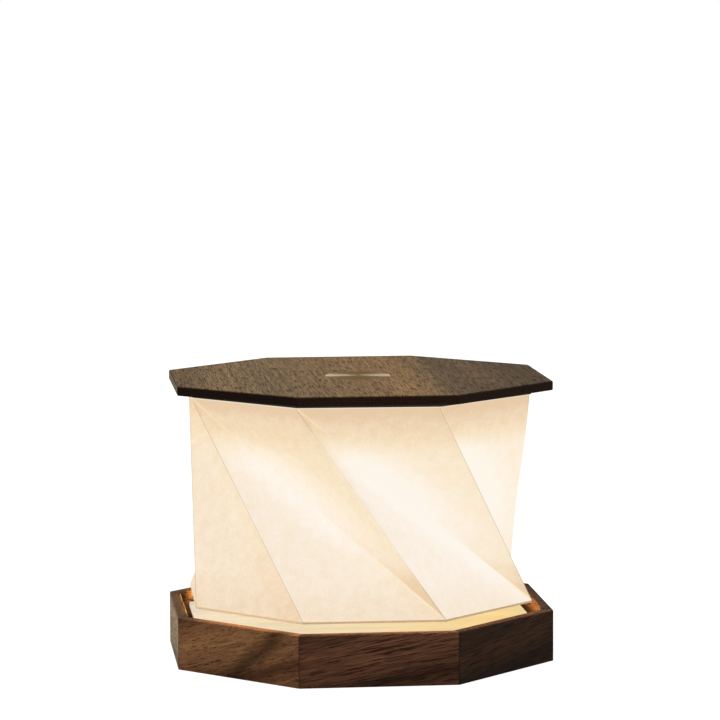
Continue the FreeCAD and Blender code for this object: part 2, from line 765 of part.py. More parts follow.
for thing in doc.Objects:
    if "Invalid" in thing.State or "Error" in thing.State:
        raise RuntimeError("%s did not compute" % thing.Label)
for piece in pieces:
    if piece.Shape.isNull() or not piece.Shape.isValid():
        raise RuntimeError("%s has no valid shape" % piece.Label)

os.makedirs("parts", exist_ok=True)
for piece in pieces:
    piece.Shape.exportStep("parts/%s.step" % piece.Label)
    print("%-24s %2d solid(s) %10.1f mm3" % (piece.Label, len(piece.Shape.Solids), piece.Shape.Volume))
print("paper folds: sharp %.1f mm, soft %.1f mm" % (
    corner(0, size("shade_radius"), top_turn, paper_top).distanceToPoint(
        corner(1, size("shade_radius"), bottom_turn, paper_bottom)),
    corner(0, size("shade_radius"), top_turn, paper_top).distanceToPoint(
        corner(2, size("shade_radius"), bottom_turn, paper_bottom))))
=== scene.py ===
import json
import math

import bmesh
import bpy
from mathutils import Matrix, Vector


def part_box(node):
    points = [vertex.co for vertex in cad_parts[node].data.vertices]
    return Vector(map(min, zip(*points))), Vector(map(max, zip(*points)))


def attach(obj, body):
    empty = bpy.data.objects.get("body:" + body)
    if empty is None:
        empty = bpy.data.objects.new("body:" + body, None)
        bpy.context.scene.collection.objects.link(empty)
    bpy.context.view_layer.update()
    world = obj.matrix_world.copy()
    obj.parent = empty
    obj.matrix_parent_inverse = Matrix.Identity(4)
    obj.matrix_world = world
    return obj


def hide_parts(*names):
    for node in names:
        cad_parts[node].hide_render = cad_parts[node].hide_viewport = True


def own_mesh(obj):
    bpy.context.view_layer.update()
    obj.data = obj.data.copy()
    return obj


# A folding table lamp: walnut tray and lid, pleated paper shade lit from inside.
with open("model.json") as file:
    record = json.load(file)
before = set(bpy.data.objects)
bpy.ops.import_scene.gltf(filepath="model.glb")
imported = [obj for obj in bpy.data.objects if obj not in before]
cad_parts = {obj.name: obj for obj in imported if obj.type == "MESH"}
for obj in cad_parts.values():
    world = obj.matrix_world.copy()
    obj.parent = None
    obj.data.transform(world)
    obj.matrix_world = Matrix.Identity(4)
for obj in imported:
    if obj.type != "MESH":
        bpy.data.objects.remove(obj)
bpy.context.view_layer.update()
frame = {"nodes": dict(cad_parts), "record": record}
nodes = frame["nodes"]
scene = bpy.context.scene
scene.view_settings.view_transform = "Standard"

MM = 0.001
SIDES = 8
STEP = 2 * math.pi / SIDES


def linear(hex_colour):
    """An sRGB hex value such as "8a5f3c" as a linear colour with full alpha."""
    channels = []
    for start in (0, 2, 4):
        value = int(hex_colour[start:start + 2], 16) / 255
        channels.append(value / 12.92 if value <= 0.04045 else ((value + 0.055) / 1.055) ** 2.4)
    return (*channels, 1.0)


def per_mm(x, y, z):
    """The scale that makes a pattern's features this many millimetres long on each axis."""
    return (1 / (x * MM), 1 / (y * MM), 1 / (z * MM))


def smoothstep(low, high, value):
    """0 below low, 1 above high, and an easy rise between them."""
    share = min(1.0, max(0.0, (value - low) / (high - low)))
    return share * share * (3 - 2 * share)


def mix(start, end, share):
    return start + (end - start) * share


def add(tree, kind, inputs, stops=(), **settings):
    """One node: its settings, its ramp's colours, and a constant or an output to link for each input."""
    made = tree.nodes.new("ShaderNode" + kind)
    for name, value in settings.items():
        setattr(made, name, value)
    for number, (place, colour) in enumerate(stops):
        ramp = made.color_ramp.elements
        stop = ramp[number] if number < len(ramp) else ramp.new(place)
        stop.position = place
        stop.color = linear(colour)
    for name, value in inputs.items():
        if isinstance(value, bpy.types.NodeSocket):
            tree.links.new(value, made.inputs[name])
        else:
            made.inputs[name].default_value = value
    return made


def new_material(name):
    """An empty node material, the tree to build in, and its shader."""
    made = bpy.data.materials.new(name)
    made.use_nodes = True
    return made, made.node_tree, made.node_tree.nodes["Principled BSDF"]


def feed(tree, shader, **outputs):
    """Links outputs to the shader's inputs, whose names have spaces where these have underscores."""
    for name, output in outputs.items():
        tree.links.new(output, shader.inputs[name.replace("_", " ")])


# Walnut: sawn, sanded and oiled boards. Broad bands of colour, with finer streaks and fibres in them, and
# short dark pores along the grain. The pores are drawn about twice as wide as real ones, so that they show.
def sawn_wood(name, bands, turn=0.0, tilt=0.0, shift=(0, 0, 0), across=46, sway=22, streak_mm=(30, 1.1),
              streaks=0.13, pore_mm=(9, 0.36), pores=0.46, sheen=0.04, seam=None, flame=None, top_level=1.0,
              charred_edges_and_painted_highlight=False):
    """A board's wood, with lengths in millimetres. bands are the colours across the grain, which take up the
    width across and wander by sway. turn is the grain's heading, tilt its rise and shift the board's place in
    the plank. streaks is how strong the streaks are, and pores how many pores there are. seam is the distance
    from a board's middle to its mitred ends, flame the place and rise of a dark figure, and top_level
    the painted light or shade on the top edge, as a level next to the rest."""
    made, tree, shader = new_material(name)
    place = add(tree, "TexCoord", {})
    heading = add(tree, "Mapping", {"Vector": place.outputs["Object"], "Rotation": (0, 0, -turn)})
    seat = [value * MM for value in shift]
    grain = add(tree, "Mapping", {"Vector": heading.outputs[0], "Rotation": (0, tilt, 0), "Location": seat})

    def along_grain(length, width, detail, roughness=0.5):
        scale = add(tree, "Mapping", {"Vector": grain.outputs[0], "Scale": per_mm(length, width, width)})
        noise = add(tree, "TexNoise", {"Vector": scale.outputs[0], "Scale": 1.0, "Detail": detail,
                                       "Roughness": roughness})
        return noise.outputs[0]

    def tone(colour, value, low, high, at_low, at_high):
        level = add(tree, "MapRange", {"Value": value, "From Min": low, "From Max": high, "To Min": at_low,
                                       "To Max": at_high})
        mixed = add(tree, "Mix", {0: 1.0, 6: colour, 7: level.outputs[0]}, data_type="RGBA",
                    blend_type="MULTIPLY")
        return mixed.outputs[2]

    parts = add(tree, "SeparateXYZ", {"Vector": grain.outputs[0]})
    flow = add(tree, "Math", {0: parts.outputs["Y"], 1: parts.outputs["Z"]}, operation="ADD")
    drift = along_grain(2.0 * across, 0.3 * across, 3.0)
    wander = add(tree, "Math", {0: drift, 1: sway * MM, 2: flow.outputs[0]}, operation="MULTIPLY_ADD")
    band = add(tree, "MapRange", {"Value": wander.outputs[0], "From Min": (sway - across) / 2 * MM,
                                  "From Max": (sway + across) / 2 * MM})
    shown = add(tree, "ValToRGB", {"Fac": band.outputs[0]}, stops=bands).outputs[0]
    fibre = along_grain(2.5 * pore_mm[0], pore_mm[1], 3.0, 0.6)
    pore = along_grain(*pore_mm, 1.0)
    shown = tone(shown, along_grain(*streak_mm, 2.0), 0.35, 0.65, 1 - streaks, 1 + streaks)
    shown = tone(shown, fibre, 0.3, 0.7, 0.6, 1.4)
    shown = tone(shown, pore, pores - 0.035, pores - 0.005, 0.3, 1.0)
    if flame:
        middle, rise = flame
        ragged_by = 8
        half_width = 7
        lean = add(tree, "VectorMath", {0: heading.outputs[0], 1: (math.sin(rise), 0, -math.cos(rise))},
                   operation="DOT_PRODUCT")
        ragged = add(tree, "Math", {0: along_grain(12, 4, 3.0), 1: ragged_by * MM, 2: lean.outputs["Value"]},
                     operation="MULTIPLY_ADD")
        centre = (ragged_by / 2 + middle * math.sin(rise)) * MM
        centred = add(tree, "Math", {0: ragged.outputs[0], 1: centre}, operation="SUBTRACT")
        beside = add(tree, "Math", {0: centred.outputs[0]}, operation="ABSOLUTE")
        shown = tone(shown, beside.outputs[0], 1 * MM, half_width * MM, 0.35, 1.0)
    if seam:
        dark_from, dark_to = seam - 0.5, seam - 0.2
        board = add(tree, "SeparateXYZ", {"Vector": heading.outputs[0]})
        from_middle = add(tree, "Math", {0: board.outputs["X"]}, operation="ABSOLUTE")
        shown = tone(shown, from_middle.outputs[0], dark_to * MM, dark_from * MM, 0.7, 1.0)
    # Painted light or shade on the top edge.
    facing = add(tree, "SeparateXYZ", {"Vector": place.outputs["Normal"]})
    shown = tone(shown, facing.outputs["Z"], 0.5, 0.9, 1.0, top_level)
    if charred_edges_and_painted_highlight:
        # The cut edges are charred nearly black, with painted light and shade by facing: the one that faces
        # left has a painted highlight in the plank's colour.
        side = add(tree, "MapRange", {"Value": facing.outputs["Z"], "From Min": 0.9, "From Max": 0.6})
        facing_for_painted_light = add(tree, "MapRange", {"Value": facing.outputs["X"], "From Min": -1.0})
        edge = add(tree, "ValToRGB", {"Fac": facing_for_painted_light.outputs[0]},
                   stops=[(0.03, "6b5a45"), (0.13, "1c130e"), (0.5, "33231a"), (0.85, "30221a")])
        char = tone(edge.outputs[0], fibre, 0.3, 0.7, 0.6, 1.4)
        shown = add(tree, "Mix", {0: side.outputs[0], 6: shown, 7: char}, data_type="RGBA").outputs[2]
    rough = add(tree, "MapRange", {"Value": fibre, "To Min": 0.5, "To Max": 0.7})
    relief = add(tree, "Bump", {"Height": pore, "Strength": 0.25, "Distance": 0.1 * MM})
    feed(tree, shader, Base_Color=shown, Roughness=rough.outputs[0], Normal=relief.outputs[0])
    shader.inputs["Specular IOR Level"].default_value = sheen
    return made


# Plain made surfaces: a moulded, turned, plated or felted finish, fine-grained and a little uneven in colour.
def finish(name, pale, deep, grain_mm, roughness=0.5, metallic=0.0, relief=0.1, stretch=(1, 1, 1),
           glow=0.0):
    """A finish between two close colours, with a grain of a real size, that may glow."""
    made, tree, shader = new_material(name)
    place = add(tree, "TexCoord", {})
    size = [grain_mm * factor for factor in stretch]
    scale = add(tree, "Mapping", {"Vector": place.outputs["Object"], "Scale": per_mm(*size)})
    speck = add(tree, "TexNoise", {"Vector": scale.outputs[0], "Scale": 1.0, "Detail": 4.0})
    colour = add(tree, "ValToRGB", {"Fac": speck.outputs[0]}, stops=[(0.3, deep), (0.7, pale)])
    rough = add(tree, "MapRange", {"Value": speck.outputs[0], "To Min": roughness - 0.1,
                                   "To Max": roughness + 0.1})
    bump = add(tree, "Bump", {"Height": speck.outputs[0], "Strength": relief, "Distance": 0.1 * MM})
    feed(tree, shader, Base_Color=colour.outputs[0], Roughness=rough.outputs[0], Normal=bump.outputs[0])
    shader.inputs["Metallic"].default_value = metallic
    if glow:
        feed(tree, shader, Emission_Color=colour.outputs[0])
        shader.inputs["Emission Strength"].default_value = glow
    return made


# Cream enamel: the deck's smooth coat. The lamp's light on it is painted into the coat as a glow, in soft
# bands, peach on the left and yellow on the right.
def cream_enamel(reach):
    """The coat of a deck that reaches so far to both sides."""
    made, tree, shader = new_material("cream_enamel")
    place = add(tree, "TexCoord", {})
    scale = add(tree, "Mapping", {"Vector": place.outputs["Object"], "Scale": per_mm(45, 9, 9)})
    cloud = add(tree, "TexNoise", {"Vector": scale.outputs[0], "Scale": 1.0, "Detail": 4.0})
    parts = add(tree, "SeparateXYZ", {"Vector": place.outputs["Object"]})
    # Painted light: peach on the left and yellow on the right, in soft bands of glow.
    across = add(tree, "MapRange", {"Value": parts.outputs["X"], "From Min": -reach, "From Max": reach})
    painted_glow_bands = add(tree, "MapRange", {"Value": cloud.outputs[0], "From Min": 0.3, "From Max": 0.7,
                                    "To Min": 0.9, "To Max": 1.08})
    coat = add(tree, "ValToRGB", {"Fac": across.outputs[0]},
               stops=[(0.1, "b2b1a4"), (0.5, "b3b09b"), (0.75, "b7ae88"), (0.92, "bbae80")])
    colour = add(tree, "Mix", {0: 1.0, 6: coat.outputs[0], 7: painted_glow_bands.outputs[0]}, data_type="RGBA",
                 blend_type="MULTIPLY")
    rough = add(tree, "MapRange", {"Value": cloud.outputs[0], "To Min": 0.35, "To Max": 0.55})
    # The deck glows in its own colour: painted light from the lamp.
    feed(tree, shader, Base_Color=colour.outputs[2], Emission_Color=colour.outputs[2],
         Roughness=rough.outputs[0])
    shader.inputs["Emission Strength"].default_value = 1.0
    return made


# Spun brass: turned in a lathe, so fine rings run round the disc and spread its highlight outward.
def spun_brass():
    made, tree, shader = new_material("spun_brass")
    place = add(tree, "TexCoord", {})
    flat = add(tree, "VectorMath", {0: place.outputs["Object"], 1: (1, 1, 0)}, operation="MULTIPLY")
    radius = add(tree, "VectorMath", {0: flat.outputs[0]}, operation="LENGTH")
    rings = add(tree, "TexNoise", {"W": radius.outputs["Value"], "Scale": 1 / (0.25 * MM), "Detail": 2.0},
                noise_dimensions="1D")
    colour = add(tree, "ValToRGB", {"Fac": rings.outputs[0]}, stops=[(0.3, "c79b55"), (0.7, "e9be72")])
    rough = add(tree, "MapRange", {"Value": rings.outputs[0], "To Min": 0.4, "To Max": 0.5})
    bump = add(tree, "Bump", {"Height": rings.outputs[0], "Strength": 0.1, "Distance": 0.02 * MM})
    around = add(tree, "Tangent", {}, direction_type="RADIAL", axis="Z")
    feed(tree, shader, Base_Color=colour.outputs[0], Roughness=rough.outputs[0], Normal=bump.outputs[0],
         Tangent=around.outputs[0])
    shader.inputs["Metallic"].default_value = 1.0
    shader.inputs["Anisotropic"].default_value = 0.95
    shader.inputs["Anisotropic Rotation"].default_value = 0.25
    return made


# The paper shade. Sharp folds join each top corner to the next bottom corner, soft ones to the one after it.
SHADE_RADIUS = 89.5 * MM
SHADE_BOTTOM = 29.9 * MM
SHADE_TOP = 132.3 * MM
TOP_TURN = math.radians(-2.4)
BOTTOM_TURN = math.radians(-1.0)
FLANGE = 7 * MM
PAPER = 0.35 * MM
LEAN = -0.8 * MM

# How the folds are eased: the narrowing reaches in millimetres, and the height shares over which the soft
# folds become round and stop. FOLD_HOLD keeps the easing off the sharp folds. A fold that is rounded by less
# than the last two shares is still shaded as a crease.
CUTS = 31
SOFT_REACHES = (17, 14, 11, 8, 5)
WORN_REACHES = (6, 4)
EASE_ROUNDS = 4
SOFT_START = (0.28, 0.55)
SOFT_STOP = (0.74, 0.92)
FOLD_HOLD = 2 * MM
STILL_SHARP = 0.2
STILL_CREASED = 0.1


def shade_corner(number, height, turn):
    """A corner of the shade's octagon, counted anticlockwise from the front left."""
    angle = number * STEP - math.pi / 2 - STEP / 2 + turn
    return Vector((SHADE_RADIUS * math.cos(angle), SHADE_RADIUS * math.sin(angle), height))


fold_top = shade_corner(0, SHADE_TOP, TOP_TURN)
sharp_end = shade_corner(1, SHADE_BOTTOM, BOTTOM_TURN)
soft_end = shade_corner(2, SHADE_BOTTOM, BOTTOM_TURN)
PLEAT_AREA = (sharp_end - fold_top).cross(soft_end - fold_top).length
SHARP_FOLD = (sharp_end - fold_top).length
SOFT_FOLD = (soft_end - fold_top).length
ACROSS_SHARP = PLEAT_AREA / SHARP_FOLD
ACROSS_SOFT = PLEAT_AREA / SOFT_FOLD


# Fibrous paper lit from inside, the lamp's light through it painted as a glow: bright along the soft folds,
# and tan where less light gets through. Painted shade lines mark the sharp folds, and painted highlights the
# ends of the soft ones.
def lit_paper():
    made, tree, shader = new_material("fibrous_paper")
    place = add(tree, "TexCoord", {})

    def written(name):
        return add(tree, "Attribute", {}, attribute_name=name).outputs["Fac"]

    def fibres(size, detail):
        scale = add(tree, "Mapping", {"Vector": place.outputs["Object"], "Scale": per_mm(*size)})
        noise = add(tree, "TexNoise", {"Vector": scale.outputs[0], "Scale": 1.0, "Detail": detail})
        return noise.outputs[0]

    def line(distance, across, width):
        full = width * MM / across
        shown = add(tree, "MapRange", {"Value": distance, "From Min": 0.4 * full, "From Max": full,
                                       "To Min": 1.0, "To Max": 0.0})
        return shown.outputs[0]

    def drawn(colour, line_share, share, line_colour):
        strength = add(tree, "Math", {0: line_share, 1: share}, operation="MULTIPLY")
        return add(tree, "Mix", {0: strength.outputs[0], 6: colour, 7: linear(line_colour)},
                   data_type="RGBA").outputs[2]

    cloud = fibres((5, 5, 5), 4.0)
    fibre = fibres((0.8, 0.8, 1.6), 2.0)
    mottle = add(tree, "Math", {0: cloud, 1: fibre}, operation="ADD")
    uneven = add(tree, "MapRange", {"Value": mottle.outputs[0], "From Min": 0.6, "From Max": 1.4,
                                    "To Min": -0.068, "To Max": 0.068})
    # The painted light through the paper, with the fibres' mottle, sets its colour from tan to white.
    shown = add(tree, "Math", {0: written("glow"), 1: uneven.outputs[0]}, operation="ADD")
    level = add(tree, "ValToRGB", {"Fac": shown.outputs[0]},
                stops=[(0.38, "e3c5a0"), (0.5, "edd6b6"), (0.6, "f3e2c7"), (0.7, "f7e9d6"),
                       (0.8, "f8f0e3")])
    # A painted tint of the light: golden on crests and under the lid, cooler elsewhere.
    tint = add(tree, "Mix", {0: written("gold"), 6: (0.98, 1.0, 1.07, 1.0), 7: (1.0, 0.995, 0.97, 1.0)},
               data_type="RGBA")
    colour = add(tree, "Mix", {0: 1.0, 6: level.outputs[0], 7: tint.outputs[2]}, data_type="RGBA",
                 blend_type="MULTIPLY").outputs[2]
    pleat = add(tree, "UVMap", {}, uv_map="Pleat")
    parts = add(tree, "SeparateXYZ", {"Vector": pleat.outputs[0]})
    along, height = parts.outputs["X"], parts.outputs["Y"]
    # Painted shade lines along the sharp folds.
    from_sharp = add(tree, "Math", {0: along, 1: 0.5}, operation="PINGPONG")
    colour = drawn(colour, line(from_sharp.outputs[0], ACROSS_SHARP, 0.45), written("crease_shade"), "96816a")
    # Painted highlights along the ends of the soft folds.
    in_pleat_share = add(tree, "Math", {0: along}, operation="FRACT")
    past_soft = add(tree, "Math", {0: in_pleat_share.outputs[0], 1: height}, operation="ADD")
    from_soft = add(tree, "Math", {0: past_soft.outputs[0], 1: 1.0}, operation="SUBTRACT")
    from_soft = add(tree, "Math", {0: from_soft.outputs[0]}, operation="ABSOLUTE")
    colour = drawn(colour, line(from_soft.outputs[0], ACROSS_SOFT, 1.0), written("lit_line"), "fde9c0")
    # A painted highlight along the paper's top edge, under the lid.
    edge = add(tree, "MapRange", {"Value": height, "From Min": 0.993, "From Max": 0.998})
    colour = drawn(colour, edge.outputs[0], 0.6, "f3ead8")
    bump = add(tree, "Bump", {"Height": fibre, "Strength": 0.08, "Distance": 0.1 * MM})
    feed(tree, shader, Emission_Color=colour, Normal=bump.outputs[0])
    shader.inputs["Emission Strength"].default_value = 1.0
    shader.inputs["Base Color"].default_value = linear("5f574b")
    shader.inputs["Roughness"].default_value = 0.85
    shader.inputs["Specular IOR Level"].default_value = 0.1
    return made


def corner_number(point, turn):
    """Which corner of the octagon a point is."""
    angle = math.atan2(point.y, point.x) - turn + math.pi / 2 + STEP / 2
    return round(angle / STEP) % SIDES


def soft_span(height):
    """How far a soft fold is rounded at a share of the shade's height: not at all near its ends."""
    return smoothstep(*SOFT_START, height) * (1 - smoothstep(*SOFT_STOP, height))


# Sharp folds that have gone soft: the height shares where this starts, is full, goes back and ends.
WORN_FOLDS = {0: (0.38, 0.55, 0.85, 0.95), 2: (0.02, 0.1, 0.3, 0.95)}


def worn_span(number, height):
    """How far a sharp fold is rounded at a share of the shade's height."""
    if number not in WORN_FOLDS:
        return 0.0
    start, full, back, end = WORN_FOLDS[number]
    return smoothstep(start, full, height) * (1 - smoothstep(back, end, height))


def in_pleat(vert, pleat):
    """A vertex's height share, how far its soft fold and the nearest sharp one are, and which that one is."""
    share, height = vert.link_loops[0][pleat].uv
    number = round(share)
    from_soft = abs(share - math.floor(share) + height - 1) * ACROSS_SOFT
    return height, from_soft, abs(share - number) * ACROSS_SHARP, number % SIDES


def mark_pleats(mesh, pleat):
    """Each facet's place in the flat pattern: pleats along, sharp folds at whole numbers, height share up."""
    middle = (SHADE_TOP + SHADE_BOTTOM) / 2
    for face in mesh.faces:
        tops = [loop.vert for loop in face.loops if loop.vert.co.z > middle]
        numbers = sorted(corner_number(vert.co, TOP_TURN) for vert in tops)
        first = numbers[0] if numbers != [0, SIDES - 1] else SIDES - 1
        for loop in face.loops:
            if loop.vert in tops:
                along = (corner_number(loop.vert.co, TOP_TURN) - first) % SIDES
            else:
                along = (corner_number(loop.vert.co, BOTTOM_TURN) - 1 - first) % SIDES
            loop[pleat].uv = (first + along, 1 if loop.vert in tops else 0)


def ease(mesh, reaches, near):
    """Rounds the sheet within narrowing reaches of its folds."""
    for reach in reaches:
        chosen = [vert for vert in mesh.verts if not vert.is_boundary and near(vert, reach * MM)]
        for _ in range(EASE_ROUNDS):
            bmesh.ops.smooth_vert(mesh, verts=chosen, factor=0.5, use_axis_x=True, use_axis_y=True,
                                  use_axis_z=True)


def fold_paper():
    """The folded sheet, with soft folds rounded in mid-span and its ends turned in as flanges."""
    mesh = bmesh.new()
    for height, turn, lean in ((SHADE_BOTTOM, BOTTOM_TURN, 0), (SHADE_TOP, TOP_TURN, LEAN)):
        seat = Matrix.Translation((lean, 0, height)) @ Matrix.Rotation(turn + STEP / 2, 4, "Z")
        bmesh.ops.create_circle(mesh, segments=SIDES, radius=SHADE_RADIUS, matrix=seat)
    bmesh.ops.bridge_loops(mesh, edges=mesh.edges[:], twist_offset=SIDES - 2)
    bmesh.ops.triangulate(mesh, faces=mesh.faces[:], quad_method="LONG_EDGE")
    pleat = mesh.loops.layers.uv.new("Pleat")
    mark_pleats(mesh, pleat)
    bmesh.ops.subdivide_edges(mesh, edges=mesh.edges[:], cuts=CUTS, use_grid_fill=True)
    places = {vert: in_pleat(vert, pleat) for vert in mesh.verts}

    def by_soft_fold(vert, reach):
        height, from_soft, from_sharp, _ = places[vert]
        return from_soft < reach * soft_span(height) and from_sharp > FOLD_HOLD

    def by_worn_fold(vert, reach):
        height, _, from_sharp, number = places[vert]
        return from_sharp < reach * worn_span(number, height)

    ease(mesh, SOFT_REACHES, by_soft_fold)
    creased = {vert: vert.co.copy() for vert in mesh.verts}
    ease(mesh, WORN_REACHES, by_worn_fold)
    for vert, (height, _, _, number) in places.items():
        vert.co = creased[vert].lerp(vert.co, worn_span(number, height))
    touch = 0.01 * MM
    for edge in mesh.edges:
        ends = [places[vert] for vert in edge.verts]
        on_sharp = all(beside < touch and worn_span(number, height) < STILL_SHARP
                       for height, _, beside, number in ends)
        on_soft = all(across < touch and soft_span(height) < STILL_CREASED
                      for height, across, _, _ in ends)
        edge.smooth = not (on_sharp or on_soft or edge.is_boundary)
    for face in mesh.faces:
        face.smooth = True
    apothem = SHADE_RADIUS * math.cos(STEP / 2)
    rims = [edge for edge in mesh.edges if edge.is_boundary]
    turned = bmesh.ops.extrude_edge_only(mesh, edges=rims)["geom"]
    inner = [item for item in turned if isinstance(item, bmesh.types.BMVert)]
    shrink = (apothem - FLANGE) / apothem
    bmesh.ops.scale(mesh, verts=inner, vec=(shrink, shrink, 1))
    bmesh.ops.recalc_face_normals(mesh, faces=mesh.faces[:])
    return mesh


# The lamp's light through the paper, painted from 0 to 1: its level, and what its place and facing add or
# take.
PAPER_LEVEL = 0.625
RIGHT_FACING = 0.12
CREST = 0.2
UPPER_REACH = 16 * MM
LOWER_REACH = 10 * MM
FOLD_END_SHADE = 0.2
UNDER_LID = 0.465
AT_LID = 0.345
OVER_PLATE = 0.87

# A facet's facing runs from -1, to the left, to 1, to the right. Between these facings the painted shade at
# the lower end of its soft fold gets lighter.
FOLD_END_FACING = (-0.6, 0.6)
RIGHT_END_SHADE = 0.3
CREST_FACING = (-0.9, -0.1)
CREST_END_FACING = (-0.4, 0.8)
CREST_END = (-0.3, 0.6)

# The height shares between which these come in or go out.
UPPER_CREST_RISE = (0.15, 0.6)
LOWER_CREST_RISE = (0.15, 0.45)
CREST_FADE = (0.65, 0.95)
FOLD_END = (0.06, 0.3)
PLATE_SHADE = (0, 0.2)
LID_SHADE = (0.72, 0.92)
LID_BAND = (0.9, 1)
LOWER_GOLD_RISE = (0.55, 0.85)
LID_GOLD = (0.85, 0.93)
LOW_END = (0, 0.3)
HIGH_END = (0.75, 1)
TOP_END = (0.85, 1)

# How strongly the painted shade lines at the sharp folds and the painted highlights at the soft folds' ends
# are drawn, and how golden the painted light is on a crest and under the lid.
SHARP_LINE = 0.45
WORN_LINE = 0.1
LOW_LINE = 0.7
LIT_LINE = 0.38
CREST_GOLD = 0.5
UNDER_LID_GOLD = 0.4
PAPER_LAYERS = ("glow", "gold", "crease_shade", "lit_line")


def paper_glow(upper, crest, height, facing, facet_facing):
    """Painted light: brightest along a soft fold, with painted shade towards the lid and at the fold's lower
    end where it faces left.
    """
    shown = PAPER_LEVEL + RIGHT_FACING * facing
    if upper:
        shown += CREST * crest * smoothstep(*UPPER_CREST_RISE, height)
        shaded = mix(1, RIGHT_END_SHADE, smoothstep(*FOLD_END_FACING, facet_facing))
        shown -= FOLD_END_SHADE * shaded * (1 - smoothstep(*FOLD_END, height))
    else:
        at_end = mix(*CREST_END, smoothstep(*CREST_END_FACING, facet_facing))
        above = smoothstep(*CREST_FACING, facet_facing)
        shown += CREST * crest * mix(at_end, above, smoothstep(*LOWER_CREST_RISE, height))
    shown *= mix(OVER_PLATE, 1, smoothstep(*PLATE_SHADE, height))
    shown = mix(shown, UNDER_LID, smoothstep(*LID_SHADE, height))
    return mix(shown, AT_LID, smoothstep(*LID_BAND, height))


def light_paper(data):
    """Writes on each facet's corners the painted light, how bright and how golden the paper is, and how
    strongly its painted fold lines are drawn.
    """
    for name in PAPER_LAYERS:
        data.attributes.new(name, "FLOAT", "CORNER")
    layers = {name: data.attributes[name].data for name in PAPER_LAYERS}
    spots = [spot.vector.copy() for spot in data.uv_layers["Pleat"].uv]
    facings = [normal.vector.x for normal in data.corner_normals]
    for face in data.polygons:
        middle = sum((spots[loop] for loop in face.loop_indices), Vector((0, 0))) / len(face.loop_indices)
        number = math.floor(middle.x)
        upper = middle.x - number + middle.y > 1
        fold = (number + 1 if upper else number) % SIDES
        midway = WORN_LINE if fold in WORN_FOLDS else SHARP_LINE
        facet_facing = math.cos((number if upper else number + 1) * STEP - math.pi / 2)
        for loop in face.loop_indices:
            share, height = spots[loop]
            reach = UPPER_REACH if upper else LOWER_REACH
            crest = math.exp(-((share - number + height - 1) * ACROSS_SOFT / reach) ** 2)
            crest *= 1 - smoothstep(*CREST_FADE, height)
            if upper:
                gold = mix(1 - CREST_GOLD * crest, UNDER_LID_GOLD, smoothstep(*LID_GOLD, height))
            else:
                gold = max(CREST_GOLD * crest, smoothstep(*LOWER_GOLD_RISE, height))
            crease_shade = mix(LOW_LINE, midway, smoothstep(*LOW_END, height))
            from_ends = smoothstep(*LOW_END, height) * (1 - smoothstep(*HIGH_END, height))
            layers["glow"][loop].value = paper_glow(upper, crest, height, facings[loop], facet_facing)
            layers["gold"][loop].value = gold
            layers["crease_shade"][loop].value = mix(crease_shade, SHARP_LINE, smoothstep(*TOP_END, height))
            layers["lit_line"][loop].value = mix(LIT_LINE, 0.0, from_ends)


def new_piece(name, mesh, body, material, slot, *replaced):
    """A finished mesh as a piece that rides on a body and stands for CAD nodes."""
    data = bpy.data.meshes.new(name)
    mesh.to_mesh(data)
    mesh.free()
    piece = bpy.data.objects.new(name, data)
    scene.collection.objects.link(piece)
    data.materials.append(material)
    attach(piece, body)
    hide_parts(*replaced)
    return piece


paper = new_piece("folded_paper", fold_paper(), "shade", lit_paper(), "folded_paper", "paper_shade")
light_paper(paper.data)
wall = paper.modifiers.new("Thickness", "SOLIDIFY")
wall.thickness = PAPER
wall.offset = -1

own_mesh(paper)

# The foil lead behind one sharp fold, as its CAD strip.
copper_foil = finish("copper_foil", "c98d63", "a8683f", 1.5, roughness=0.35, metallic=1.0)
foil = bmesh.new()
foil.from_mesh(nodes["touch_lead"].data)
bmesh.ops.remove_doubles(foil, verts=foil.verts[:], dist=0.001 * MM)
lead = new_piece("foil_lead", foil, "shade", copper_foil, "copper_foil", "touch_lead")
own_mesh(lead)

# The felt under the floor: an octagon with its cut edges gone soft.
wool_felt = finish("wool_felt", "5b5148", "3a332d", 0.8, roughness=0.9, relief=0.6)
low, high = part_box("felt_pad")
felt_apothem = high.x
felt_mesh = bmesh.new()
seat = Matrix.Rotation(STEP / 2, 4, "Z")
bmesh.ops.create_circle(felt_mesh, cap_ends=True, segments=SIDES, matrix=seat,
                        radius=felt_apothem / math.cos(STEP / 2))
raised = bmesh.ops.extrude_face_region(felt_mesh, geom=felt_mesh.faces[:])["geom"]
lifted = [item for item in raised if isinstance(item, bmesh.types.BMVert)]
bmesh.ops.translate(felt_mesh, verts=lifted, vec=(0, 0, high.z - low.z))
bmesh.ops.recalc_face_normals(felt_mesh, faces=felt_mesh.faces[:])
bmesh.ops.bevel(felt_mesh, geom=felt_mesh.edges[:], offset=0.4 * MM, affect="EDGES", segments=3,
                profile=0.5, material=-1)
felt = new_piece("felt_foot", felt_mesh, "base", wool_felt, "wool_felt", "felt_pad")

# The foam under the cell, with its skin rounded over at the edges.
black_foam = finish("black_foam", "2c2b2b", "171616", 0.7, roughness=0.9, relief=0.7)
low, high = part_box("battery_pad")
foam_mesh = bmesh.new()
bmesh.ops.create_cube(foam_mesh, size=1.0)
bmesh.ops.scale(foam_mesh, verts=foam_mesh.verts[:], vec=high - low)
bmesh.ops.translate(foam_mesh, verts=foam_mesh.verts[:], vec=(low + high) / 2)
bmesh.ops.bevel(foam_mesh, geom=foam_mesh.edges[:], offset=0.3 * MM, affect="EDGES", segments=3,
                profile=0.5, material=-1)
foam = new_piece("cell_foam", foam_mesh, "base", black_foam, "black_foam", "battery_pad")

